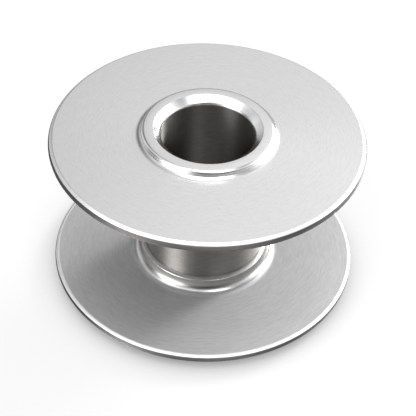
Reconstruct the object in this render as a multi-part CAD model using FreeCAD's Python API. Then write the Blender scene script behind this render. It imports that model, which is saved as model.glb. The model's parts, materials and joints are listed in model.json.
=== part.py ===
# Sewing machine bobbin, turned in one piece from an aluminium bar: two flat flanges on a hollow hub, with a
# raised boss round the bore on each outer face and a ledged, coved collar where the hub meets each inner face.
# Millimetres, +Z up along the bore. The origin is on the axis, on the flat face of the lower boss.
import FreeCAD, Part
import math
import os

# Driving sizes: the whole bobbin
overall_height = 11.5
flange_diameter = 20.3
bore_diameter = 6.0

# Driving sizes: each flange, with a shallow bevel on both edges of its rim
flange_thickness = 0.62
outer_bevel_width = 0.27
outer_bevel_depth = 0.18
inner_bevel_width = 0.2
inner_bevel_depth = 0.1

# Driving sizes: the boss round the bore, with a bevelled mouth, a rounded edge and a coved foot
boss_height = 0.5
boss_wall = 1.3
boss_edge_round = 0.26
boss_foot_width = 0.2
boss_foot_height = 0.13
boss_foot_round = 0.5
mouth_bevel_width = 0.5
mouth_bevel_depth = 0.45

# Driving sizes: the hub, and the collar at each end of it, which has a sloping ledge and a coved foot
hub_wall = 0.93
collar_height = 1.0
ledge_width = 0.34
ledge_drop = 0.12
collar_cove = 0.75

# Radii, from the bore outwards
bore_radius = bore_diameter / 2
mouth_radius = bore_radius + mouth_bevel_width
boss_radius = bore_radius + boss_wall
boss_foot_radius = boss_radius + boss_foot_width
hub_radius = bore_radius + hub_wall
collar_radius = hub_radius + ledge_width
flange_radius = flange_diameter / 2

# Heights over the middle of the hub, at its upper end
boss_face = overall_height / 2
mouth_floor = boss_face - mouth_bevel_depth
outer_face = boss_face - boss_height
boss_foot_top = outer_face + boss_foot_height
inner_face = outer_face - flange_thickness
hub_foot = inner_face - collar_height
ledge_edge = hub_foot + ledge_drop


def corner_arc(before, corner, after, reach):
    """Start, middle and end of the arc that rounds a corner, tangent to its two sides at that reach from it."""
    to_before = (before - corner).normalize()
    to_after = (after - corner).normalize()
    half_angle = to_before.getAngle(to_after) / 2
    depth = reach * (1 - math.sin(half_angle)) / math.cos(half_angle)
    inward = (to_before + to_after).normalize()
    return corner + to_before * reach, corner + inward * depth, corner + to_after * reach


def rounded_outline(corners):
    """Closed wire through corners (radius, height, rounding). Roundings that meet on one side share its length."""
    count = len(corners)
    points = [FreeCAD.Vector(radius, 0, height) for radius, height, rounding in corners]
    sides = [points[(index + 1) % count] - points[index] for index in range(count)]
    reaches = []
    for index, (radius, height, rounding) in enumerate(corners):
        half_angle = (sides[index - 1] * -1).getAngle(sides[index]) / 2
        reaches.append(rounding / math.tan(half_angle))
    shares = []
    for index, side in enumerate(sides):
        needed = reaches[index] + reaches[(index + 1) % count]
        shares.append(side.Length / max(needed, side.Length))

    edges = []
    arcs = []
    for index, point in enumerate(points):
        reach = reaches[index] * min(shares[index - 1], shares[index])
        arcs.append(corner_arc(points[index - 1], point, points[(index + 1) % count], reach))
    for index, (start, middle, end) in enumerate(arcs):
        next_start = arcs[(index + 1) % count][0]
        if reaches[index] > 0:
            edges.append(Part.Arc(start, middle, end).toShape())
        if not end.isEqual(next_start, Part.Precision.confusion()):
            edges.append(Part.LineSegment(end, next_start).toShape())
    return Part.Wire(edges)


# Half section of the upper end, from the bore over the boss and the flange to the hub
upper_end = [
    (bore_radius, mouth_floor, 0),
    (mouth_radius, boss_face, 0),
    (boss_radius, boss_face, boss_edge_round),
    (boss_radius, boss_foot_top, 0),
    (boss_foot_radius, outer_face, boss_foot_round),
    (flange_radius - outer_bevel_width, outer_face, 0),
    (flange_radius, outer_face - outer_bevel_depth, 0),
    (flange_radius, inner_face + inner_bevel_depth, 0),
    (flange_radius - inner_bevel_width, inner_face, 0),
    (collar_radius, inner_face, collar_cove),
    (collar_radius, ledge_edge, 0),
    (hub_radius, hub_foot, 0),
]
# The lower end is the same, turned over
lower_end = [(radius, -height, rounding) for radius, height, rounding in reversed(upper_end)]

# One solid, turned about the axis and stood on its lower boss
axis = FreeCAD.Vector(0, 0, 1)
section = Part.Face(rounded_outline(upper_end + lower_end))
bobbin = section.revolve(FreeCAD.Vector(0, 0, 0), axis, 360)
bobbin.translate(axis * boss_face)

os.makedirs("parts", exist_ok=True)
bobbin.exportStep("parts/bobbin.step")
print("bobbin: valid", bobbin.isValid(), "volume", round(bobbin.Volume, 2), "mm3")
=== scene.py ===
# Sewing machine bobbin on a white table, seen from above and in front, in soft studio light.
# Metres, in the frame of the CAD part: +Z up along the bore, origin in the face of the lower boss.
import json
import math
import bpy
from mathutils import Matrix, Vector


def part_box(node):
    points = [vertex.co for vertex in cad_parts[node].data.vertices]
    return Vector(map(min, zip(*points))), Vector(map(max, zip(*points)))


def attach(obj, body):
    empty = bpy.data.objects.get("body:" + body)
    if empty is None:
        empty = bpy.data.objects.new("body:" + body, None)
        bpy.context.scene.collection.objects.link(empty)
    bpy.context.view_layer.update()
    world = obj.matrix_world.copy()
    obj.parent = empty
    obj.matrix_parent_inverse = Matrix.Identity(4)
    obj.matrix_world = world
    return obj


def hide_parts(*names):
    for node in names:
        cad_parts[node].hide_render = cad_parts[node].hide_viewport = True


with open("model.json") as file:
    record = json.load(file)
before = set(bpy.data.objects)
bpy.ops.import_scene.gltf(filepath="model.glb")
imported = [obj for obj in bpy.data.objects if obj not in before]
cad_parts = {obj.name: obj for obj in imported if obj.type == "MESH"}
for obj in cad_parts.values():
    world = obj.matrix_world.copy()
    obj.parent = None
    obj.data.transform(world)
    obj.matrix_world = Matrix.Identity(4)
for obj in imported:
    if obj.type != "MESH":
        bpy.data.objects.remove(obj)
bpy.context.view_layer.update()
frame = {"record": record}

# The bobbin is one piece of bright aluminium, turned from bar on a lathe: two thin flanges on a hollow hub,
# a low boss with a bevelled mouth round the bore, and a ledged, coved collar inside each flange. The tool
# leaves fine strokes round the axis, and every edge is broken by hand, so none of them is sharp.
mm = 0.001
low_corner, high_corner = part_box("bobbin")
mounts = {mount["name"]: mount for mount in frame["record"]["mounts"]}

bobbin_sizes = {
    "Overall Height": high_corner.z - low_corner.z,
    "Flange Radius": high_corner.x,
    "Bore Radius": mounts["bore"]["dims"]["r_mm"] * mm,
    "Flange Thickness": 0.62 * mm,
    "Outer Bevel Width": 0.27 * mm,
    "Outer Bevel Depth": 0.18 * mm,
    "Inner Bevel Width": 0.2 * mm,
    "Inner Bevel Depth": 0.1 * mm,
    "Outer Rim Round": 0.1 * mm,
    "Rim Wall Round": 0.35 * mm,
    "Inner Wall Round": 0.22 * mm,
    "Inner Rim Round": 0.12 * mm,
    "Boss Height": 0.5 * mm,
    "Boss Wall": 1.3 * mm,
    "Boss Edge Round": 0.26 * mm,
    "Boss Foot Width": 0.2 * mm,
    "Boss Foot Height": 0.13 * mm,
    "Boss Foot Round": 0.5 * mm,
    "Mouth Bevel Width": 0.5 * mm,
    "Mouth Bevel Depth": 0.45 * mm,
    "Mouth Edge Round": 0.05 * mm,
    "Bore Edge Round": 0.35 * mm,
    "Hub Wall": 0.93 * mm,
    "Collar Height": 1.0 * mm,
    "Ledge Width": 0.34 * mm,
    "Ledge Drop": 0.12 * mm,
    "Ledge Edge Round": 0.08 * mm,
    "Collar Cove": 0.75 * mm,
    "Crease Round": 0.02 * mm,
}
turn_steps = 256
round_steps = 7

turning = bpy.data.node_groups.new("Turned bobbin", "GeometryNodeTree")
turning.interface.new_socket("Geometry", in_out="OUTPUT", socket_type="NodeSocketGeometry")
for name in bobbin_sizes:
    turning.interface.new_socket(name, in_out="INPUT", socket_type="NodeSocketFloat")
turning.interface.new_socket("Turn Steps", in_out="INPUT", socket_type="NodeSocketInt")
turning.interface.new_socket("Round Steps", in_out="INPUT", socket_type="NodeSocketInt")
turning.interface.new_socket("Metal", in_out="INPUT", socket_type="NodeSocketMaterial")
given = turning.nodes.new("NodeGroupInput").outputs


def feed(tree, socket, value):
    """Puts a value on a node's input: another node's output is linked, anything else is set."""
    if isinstance(value, bpy.types.NodeSocket):
        tree.links.new(value, socket)
    else:
        socket.default_value = value


def add_node(tree, kind, inputs, **options):
    """Adds a node with its options and inputs set, and returns its first output that is in use."""
    made = tree.nodes.new(kind)
    for option, value in options.items():
        setattr(made, option, value)
    for name, value in inputs.items():
        feed(tree, made.inputs[name], value)
    return next(output for output in made.outputs if output.enabled)


def calculate(tree, operation, first, second=0.0, third=0.0):
    """Adds a Math node and returns its result."""
    return add_node(tree, "ShaderNodeMath", {0: first, 1: second, 2: third}, operation=operation)


def plus(first, second):
    """A length of the bobbin plus another."""
    return calculate(turning, "ADD", first, second)


def minus(first, second):
    """A length of the bobbin less another."""
    return calculate(turning, "SUBTRACT", first, second)


def pick(index, choices, data_type):
    """An Index Switch that gives the choice with that index."""
    switch = turning.nodes.new("GeometryNodeIndexSwitch")
    switch.data_type = data_type
    while len(switch.index_switch_items) < len(choices):
        switch.index_switch_items.new()
    feed(turning, switch.inputs[0], index)
    for place, choice in enumerate(choices, start=1):
        feed(turning, switch.inputs[place], choice)
    return switch.outputs[0]


# Heights over the middle of the hub, and wall thicknesses outside the bore, at the upper end
boss_face = calculate(turning, "DIVIDE", given["Overall Height"], 2.0)
mouth_floor = minus(boss_face, given["Mouth Bevel Depth"])
outer_face = minus(boss_face, given["Boss Height"])
boss_foot_top = plus(outer_face, given["Boss Foot Height"])
inner_face = minus(outer_face, given["Flange Thickness"])
hub_foot = minus(inner_face, given["Collar Height"])
ledge_edge = plus(hub_foot, given["Ledge Drop"])
boss_foot = plus(given["Boss Wall"], given["Boss Foot Width"])
rim = minus(given["Flange Radius"], given["Bore Radius"])
ledge = plus(given["Hub Wall"], given["Ledge Width"])

# Corners of the half section (wall, height, rounding), from the bore over the boss and the flange to the hub
upper_end = [
    (0.0, mouth_floor, given["Bore Edge Round"]),
    (given["Mouth Bevel Width"], boss_face, given["Mouth Edge Round"]),
    (given["Boss Wall"], boss_face, given["Boss Edge Round"]),
    (given["Boss Wall"], boss_foot_top, given["Crease Round"]),
    (boss_foot, outer_face, given["Boss Foot Round"]),
    (minus(rim, given["Outer Bevel Width"]), outer_face, given["Outer Rim Round"]),
    (rim, minus(outer_face, given["Outer Bevel Depth"]), given["Rim Wall Round"]),
    (rim, plus(inner_face, given["Inner Bevel Depth"]), given["Inner Wall Round"]),
    (minus(rim, given["Inner Bevel Width"]), inner_face, given["Inner Rim Round"]),
    (ledge, inner_face, given["Collar Cove"]),
    (ledge, ledge_edge, given["Ledge Edge Round"]),
    (given["Hub Wall"], hub_foot, given["Crease Round"]),
]
corner_points = [
    add_node(turning, "ShaderNodeCombineXYZ", {"X": wall, "Y": height})
    for wall, height, rounding in upper_end
]
corner_rounds = [rounding for wall, height, rounding in upper_end]

# The lower end is the upper one turned over. The outline runs along it first, and then back along the upper
# end, whose corners are counted from the last one.
corner_count = 2 * len(upper_end)
index = add_node(turning, "GeometryNodeInputIndex", {})
index_from_end = minus(corner_count - 1, index)
end_index = calculate(turning, "MINIMUM", index, index_from_end)
is_upper = calculate(turning, "GREATER_THAN", index, index_from_end)
up_or_down = calculate(turning, "MULTIPLY_ADD", is_upper, 2.0, -1.0)
end_side = add_node(turning, "ShaderNodeCombineXYZ", {"X": 1.0, "Y": up_or_down, "Z": 1.0})
corner_point = add_node(
    turning,
    "ShaderNodeVectorMath",
    {0: pick(end_index, corner_points, "VECTOR"), 1: end_side},
    operation="MULTIPLY",
)
corner_round = pick(end_index, corner_rounds, "FLOAT")

# The half section goes round the bore once, and the bobbin is stood on its lower boss
points = add_node(turning, "GeometryNodePoints", {"Count": corner_count})
outline = add_node(turning, "GeometryNodePointsToCurves", {"Points": points})
outline = add_node(turning, "GeometryNodeSetSplineCyclic", {0: outline, "Cyclic": True})
outline = add_node(turning, "GeometryNodeSetPosition", {0: outline, "Position": corner_point})
section = add_node(
    turning,
    "GeometryNodeFilletCurve",
    {"Curve": outline, "Radius": corner_round, "Count": given["Round Steps"], "Limit Radius": True},
    mode="POLY",
)
bore_circle = add_node(
    turning,
    "GeometryNodeCurvePrimitiveCircle",
    {"Resolution": given["Turn Steps"], "Radius": given["Bore Radius"]},
)
turned = add_node(turning, "GeometryNodeCurveToMesh", {"Curve": bore_circle, "Profile Curve": section})
half_height = add_node(turning, "ShaderNodeCombineXYZ", {"Z": boss_face})
stood = add_node(turning, "GeometryNodeTransform", {"Geometry": turned, "Translation": half_height})
smooth = add_node(turning, "GeometryNodeSetShadeSmooth", {0: stood, "Shade Smooth": True})
real = add_node(turning, "GeometryNodeRealizeInstances", {"Geometry": smooth})
finished = add_node(turning, "GeometryNodeSetMaterial", {"Geometry": real, "Material": given["Metal"]})
feed(turning, turning.nodes.new("NodeGroupOutput").inputs["Geometry"], finished)

# Turned aluminium: bright outer faces, bevels and bosses, and a rougher space between the flanges. Painted
# shade darkens that space, and darker painted shade lies on the walls of the hub, in the bore and round the
# rims. Short strokes of the tool show in its tone, gloss and surface.
outer_colour = (0.71, 0.71, 0.71, 1.0)
# Painted shade: the inner colour darkens the space between the flanges, and the hub, bore and rim colours
# are painted shade on those walls
inner_painted_shade_colour = (0.46, 0.46, 0.46, 1.0)
hub_painted_shade_colour = (0.28, 0.27, 0.258, 1.0)
bore_painted_shade_colour = (0.108, 0.104, 0.098, 1.0)
rim_painted_shade_colour = (0.12, 0.117, 0.114, 1.0)
face_tint = (1.0, 1.0, 1.0, 1.0)
# Painted shade: the rims' dark specular tint darkens their glancing reflections
rim_painted_shade_tint = (0.1, 0.1, 0.1, 1.0)
outer_roughness = 0.28
inner_roughness = 0.6
edge_roughness = 0.2
rim_roughness = 0.48
wall_roughness = 0.54
outer_anisotropy = 0.3
inner_anisotropy = 0.0
wall_anisotropy = 1.0
strokes_per_metre = 13000.0
stroke_ends_per_metre = 1800.0
outer_stroke_depth = 0.2
inner_stroke_depth = 0.45
wall_stroke_depth = 0.7
stroke_dulling = 0.05
stroke_detail = 3.0
noise_middle = 0.5
bump_strength = 0.1
bump_height = 0.01 * mm
gloss_turn = 0.25

metal = bpy.data.materials.new("turned_aluminium")
metal.use_nodes = True
shading = metal.node_tree
surface = shading.nodes["Principled BSDF"]
coordinates = shading.nodes.new("ShaderNodeTexCoord").outputs


def work(operation, first, second=0.0, third=0.0):
    """A Math node in the metal's tree."""
    return calculate(shading, operation, first, second, third)


def ramp(value, start, end, low=0.0, high=1.0):
    """Low up to start and high from end on, with a smooth step between them."""
    limits = {"Value": value, "From Min": start, "From Max": end, "To Min": low, "To Max": high}
    return add_node(shading, "ShaderNodeMapRange", limits, interpolation_type="SMOOTHSTEP")


def between(share, first, second):
    """The first value, going over to the second one as the share grows from 0 to 1."""
    return ramp(share, 0.0, 1.0, first, second)


def blend(share, first, second, blend_type="MIX"):
    """The first colour with that share of the second one mixed in."""
    inputs = {0: share, 6: first, 7: second}
    return add_node(shading, "ShaderNodeMix", inputs, data_type="RGBA", blend_type=blend_type)


place = shading.nodes.new("ShaderNodeSeparateXYZ")
feed(shading, place.inputs[0], coordinates["Object"])
facing = shading.nodes.new("ShaderNodeSeparateXYZ")
feed(shading, facing.inputs[0], coordinates["Normal"])
x, y, z = place.outputs
radius = work("SQRT", work("MULTIPLY_ADD", x, x, work("MULTIPLY", y, y)))
middle = bobbin_sizes["Overall Height"] / 2
from_middle = work("ABSOLUTE", work("SUBTRACT", z, middle))

# Strokes of the tool: noise that changes slowly round the axis, and fast outwards and upwards
stroke_place = add_node(
    shading,
    "ShaderNodeCombineXYZ",
    {
        "X": work("MULTIPLY", x, stroke_ends_per_metre),
        "Y": work("MULTIPLY", y, stroke_ends_per_metre),
        "Z": work("MULTIPLY", radius, strokes_per_metre),
    },
)
stroke_height = work("MULTIPLY", z, strokes_per_metre)
strokes = add_node(
    shading,
    "ShaderNodeTexNoise",
    {"Vector": stroke_place, "W": stroke_height, "Scale": 1.0, "Detail": stroke_detail},
    noise_dimensions="4D",
)

# Where each finish and each patch of painted shade is, from the place on the bobbin and its rise, which is 1
# on flats and 0 on walls. Each one goes over to the next between two depths below the outer face, close to
# the bore, or between two rises.
dull_start = 0.3 * mm
dull_end = 0.5 * mm
bore_blend = 0.06 * mm
rim_wall_start = 0.5
rim_wall_end = 0.32
rim_wall_share = 0.93
cove_start = 0.35
cove_end = 0.15
cove_shade_share = 0.8
face_height = middle - bobbin_sizes["Boss Height"]
bore_radius = bobbin_sizes["Bore Radius"]
hub_radius = bore_radius + bobbin_sizes["Hub Wall"]
rise = work("MULTIPLY", facing.outputs["Z"], facing.outputs["Z"])
is_inner = ramp(from_middle, face_height - dull_start, face_height - dull_end)
is_bore = ramp(radius, bore_radius + bore_blend, bore_radius)
is_rim = work("GREATER_THAN", radius, bobbin_sizes["Flange Radius"] - bobbin_sizes["Outer Bevel Width"])
is_rim_wall = work("MULTIPLY", is_rim, ramp(rise, rim_wall_start, rim_wall_end, 0.0, rim_wall_share))
is_side = work("MAXIMUM", is_bore, is_rim_wall)
# Painted shade on the steep part of each cove
is_shaded_cove = work("MULTIPLY", is_inner, ramp(rise, cove_start, cove_end, 0.0, cove_shade_share))
is_hub = work("MULTIPLY", is_inner, ramp(radius, hub_radius + bobbin_sizes["Ledge Width"], hub_radius))
is_wall = work("MAXIMUM", is_side, is_hub)
is_painted_shade = work("MAXIMUM", is_wall, is_shaded_cove)
# An edge's share is full on a slope of 45 degrees, where the rise is a half
full_edge = 0.25
is_edge = work("DIVIDE", work("MULTIPLY", rise, work("SUBTRACT", 1.0, rise)), full_edge)

# Colour, gloss and relief, blended from finish to finish and broken up by the strokes. The colour also
# carries painted shade between the flanges, on the walls and in the coves.
# Painted shade between the flanges: the inner faces get a darker colour than the outer ones
is_painted_inner_shade = work("MULTIPLY", is_inner, work("SUBTRACT", 1.0, is_rim))
face_and_inner_shade_colour = blend(is_painted_inner_shade, outer_colour, inner_painted_shade_colour)
# Painted shade on the walls of the hub, in the bore and round the rims, darkest in the bore
wall_painted_shade_colour = blend(is_rim, blend(is_bore, hub_painted_shade_colour, bore_painted_shade_colour), rim_painted_shade_colour)
colour_with_painted_shade = blend(is_painted_shade, face_and_inner_shade_colour, wall_painted_shade_colour)
stroke_change = work("SUBTRACT", strokes, noise_middle)
face_stroke_depth = between(is_inner, outer_stroke_depth, inner_stroke_depth)
stroke_depth = between(is_wall, face_stroke_depth, wall_stroke_depth)
stroke_tone = work("MULTIPLY_ADD", stroke_change, stroke_depth, 1.0)
feed(shading, surface.inputs["Base Color"], blend(1.0, colour_with_painted_shade, stroke_tone, "MULTIPLY"))
face_roughness = between(is_inner, outer_roughness, inner_roughness)
bevel_roughness = between(is_rim, edge_roughness, rim_roughness)
face_or_edge = between(is_edge, face_roughness, bevel_roughness)
finish_roughness = between(is_wall, face_or_edge, wall_roughness)
stroke_roughness = work("MULTIPLY_ADD", stroke_change, stroke_dulling, finish_roughness)
feed(shading, surface.inputs["Roughness"], stroke_roughness)
bump = shading.nodes.new("ShaderNodeBump")
bump.inputs["Strength"].default_value = bump_strength
bump.inputs["Distance"].default_value = bump_height
feed(shading, bump.inputs["Height"], strokes)
feed(shading, surface.inputs["Normal"], bump.outputs["Normal"])
surface.inputs["Metallic"].default_value = 1.0
# The rims' dark specular tint is painted shade on their glancing reflections
feed(shading, surface.inputs["Specular Tint"], blend(is_rim, face_tint, rim_painted_shade_tint))
face_anisotropy = between(is_inner, outer_anisotropy, inner_anisotropy)
feed(shading, surface.inputs["Anisotropic"], between(is_wall, face_anisotropy, wall_anisotropy))
surface.inputs["Anisotropic Rotation"].default_value = gloss_turn

# The section is turned, its flats get flat normals, and the result is kept as a plain mesh
blank = bpy.data.objects.new("blank", bpy.data.meshes.new("blank"))
bpy.context.scene.collection.objects.link(blank)
lathe = blank.modifiers.new("turned", "NODES")
lathe.node_group = turning
tree_inputs = {**bobbin_sizes, "Turn Steps": turn_steps, "Round Steps": round_steps, "Metal": metal}
for socket in turning.interface.items_tree:
    if socket.name in tree_inputs:
        lathe[socket.identifier] = tree_inputs[socket.name]
blank.modifiers.new("flat faces", "WEIGHTED_NORMAL")
turned_blank = blank.evaluated_get(bpy.context.evaluated_depsgraph_get())
bobbin = bpy.data.objects.new("turned_bobbin", bpy.data.meshes.new_from_object(turned_blank))
bpy.context.scene.collection.objects.link(bobbin)
bpy.data.objects.remove(blank)
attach(bobbin, "root")
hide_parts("bobbin")

# The table is a flat sheet of matt white paper that the bobbin stands on. The camera and the metal see it
# white, with a painted contact shadow where the bobbin is close to it.
table_reach = 2.0
table_colour = (0.9, 0.9, 0.9, 1.0)
table_lift = 0.8
paper_white = 0.86
shadow_reach = 2.5 * mm
black_openness = -0.3
white_openness = 0.95

table_mesh = bpy.data.meshes.new("table")
table_corners = [(-1, -1), (1, -1), (1, 1), (-1, 1)]
table_points = [(table_reach * across, table_reach * along, 0.0) for across, along in table_corners]
table_mesh.from_pydata(table_points, [], [(0, 1, 2, 3)])
table = bpy.data.objects.new("table", table_mesh)
bpy.context.scene.collection.objects.link(table)
paper = bpy.data.materials.new("white_paper")
paper.use_nodes = True
paper_tree = paper.node_tree
paper_tree.nodes.remove(paper_tree.nodes["Principled BSDF"])

matt = add_node(paper_tree, "ShaderNodeBsdfDiffuse", {"Color": table_colour})
# Painted contact shadow: the paper's white glow is darkened where ambient occlusion finds the bobbin close
openness = paper_tree.nodes.new("ShaderNodeAmbientOcclusion")
openness.inputs["Distance"].default_value = shadow_reach
painted_shadow_tone = add_node(
    paper_tree,
    "ShaderNodeMapRange",
    {
        "Value": openness.outputs["AO"],
        "From Min": black_openness,
        "From Max": white_openness,
        "To Max": paper_white,
    },
)
white = add_node(paper_tree, "ShaderNodeEmission", {"Color": painted_shadow_tone})

# The white is for rays that show the paper, from the camera, in metal or through glass
rays = paper_tree.nodes.new("ShaderNodeLightPath").outputs
seen = calculate(paper_tree, "MAXIMUM", rays["Is Camera Ray"], rays["Is Glossy Ray"])
seen = calculate(paper_tree, "MAXIMUM", seen, rays["Is Transmission Ray"])
lift = calculate(paper_tree, "MULTIPLY", seen, table_lift)
paper_look = add_node(paper_tree, "ShaderNodeMixShader", {0: lift, 1: matt, 2: white})
feed(paper_tree, paper_tree.nodes["Material Output"].inputs["Surface"], paper_look)
paper.cycles.emission_sampling = "NONE"
table_mesh.materials.append(paper)

# The studio is a tent of dark cloth hung round the table. Lamps behind the cloth make bright patches on it:
# one overhead, a broad one behind, a tight one at the right back with a glow round it, and smaller ones on
# the right, on the left and high in front. One fold at the left back is darker than the rest.
cloth_glow = 0.07
# Azimuth and elevation in degrees, tightness, and change in brightness of each patch
tent_patches = {
    "overhead, a little in front": (-90.0, 82.0, 30.0, 7.0),
    "broad, behind": (90.0, 47.0, 8.0, 1.08),
    "lamp at the right back": (44.0, 26.0, 130.0, 64.0),
    "glow round that lamp": (34.0, 34.0, 11.0, 1.1),
    "low on the right": (8.0, 16.0, 18.0, 4.0),
    "low at the left front": (-140.0, 10.0, 28.0, 13.0),
    "high at the left front": (-150.0, 46.0, 45.0, 3.2),
    "high on the left": (175.0, 44.0, 14.0, 0.9),
    "high at the right front": (-60.0, 54.0, 50.0, 6.0),
    "high in front": (-90.0, 54.0, 14.0, 0.2),
    "high in front, to the left": (-112.0, 50.0, 40.0, 1.6),
    "on the right front": (-30.0, 30.0, 14.0, 0.8),
    "low on the left": (155.0, 18.0, 40.0, 0.9),
    "at the foot of the left back": (135.0, 6.0, 20.0, 0.8),
    "dark fold at the left back": (122.0, 34.0, 13.0, -0.42),
}

tent = bpy.data.worlds.new("studio_tent")
bpy.context.scene.world = tent
tent.use_nodes = True
tent_tree = tent.node_tree
cloth = tent_tree.nodes["Background"]
toward_cloth = tent_tree.nodes.new("ShaderNodeTexCoord").outputs["Generated"]


def heading(azimuth, elevation):
    """Unit vector at that azimuth, anticlockwise from +X, and that elevation, in degrees."""
    flat = math.cos(math.radians(elevation))
    across = math.radians(azimuth)
    return Vector((flat * math.cos(across), flat * math.sin(across), math.sin(math.radians(elevation))))


# Each patch is brightest along its own heading and fades as the angle from it grows
cloth_shade = cloth_glow
for azimuth, elevation, tightness, change in tent_patches.values():
    patch_way = heading(azimuth, elevation)
    nearness = add_node(
        tent_tree, "ShaderNodeVectorMath", {0: toward_cloth, 1: patch_way}, operation="DOT_PRODUCT"
    )
    falloff = calculate(tent_tree, "MULTIPLY_ADD", nearness, tightness, -tightness)
    patch = calculate(tent_tree, "EXPONENT", falloff)
    cloth_shade = calculate(tent_tree, "MULTIPLY_ADD", patch, change, cloth_shade)
feed(tent_tree, cloth.inputs["Color"], calculate(tent_tree, "MAXIMUM", cloth_shade, 0.0))

# The camera stands in front of the bobbin and looks down on it through a long lens, tilted a little to the
# left. Its azimuth and elevation are in degrees, and its lens and film are in millimetres.
camera_place = (0.0, -62.41 * mm, 62.20 * mm)
camera_azimuth = 89.81665
camera_elevation = -42.70254
camera_roll = math.radians(2.47518)
camera_lens = 109.65
camera_near = 1.0 * mm
film_width = 36.0

ahead = heading(camera_azimuth, camera_elevation)
level_right = ahead.cross(Vector((0.0, 0.0, 1.0))).normalized()
level_up = level_right.cross(ahead)
right = level_right * math.cos(camera_roll) + level_up * math.sin(camera_roll)
up = level_up * math.cos(camera_roll) - level_right * math.sin(camera_roll)
camera_data = bpy.data.cameras.new("camera")
camera_data.lens = camera_lens
camera_data.sensor_width = film_width
camera_data.clip_start = camera_near
camera = bpy.data.objects.new("camera", camera_data)
camera.matrix_world = Matrix((right, up, -ahead)).transposed().to_4x4()
camera.location = camera_place
bpy.context.scene.collection.objects.link(camera)
bpy.context.scene.camera = camera
bpy.context.scene.view_settings.view_transform = "Standard"
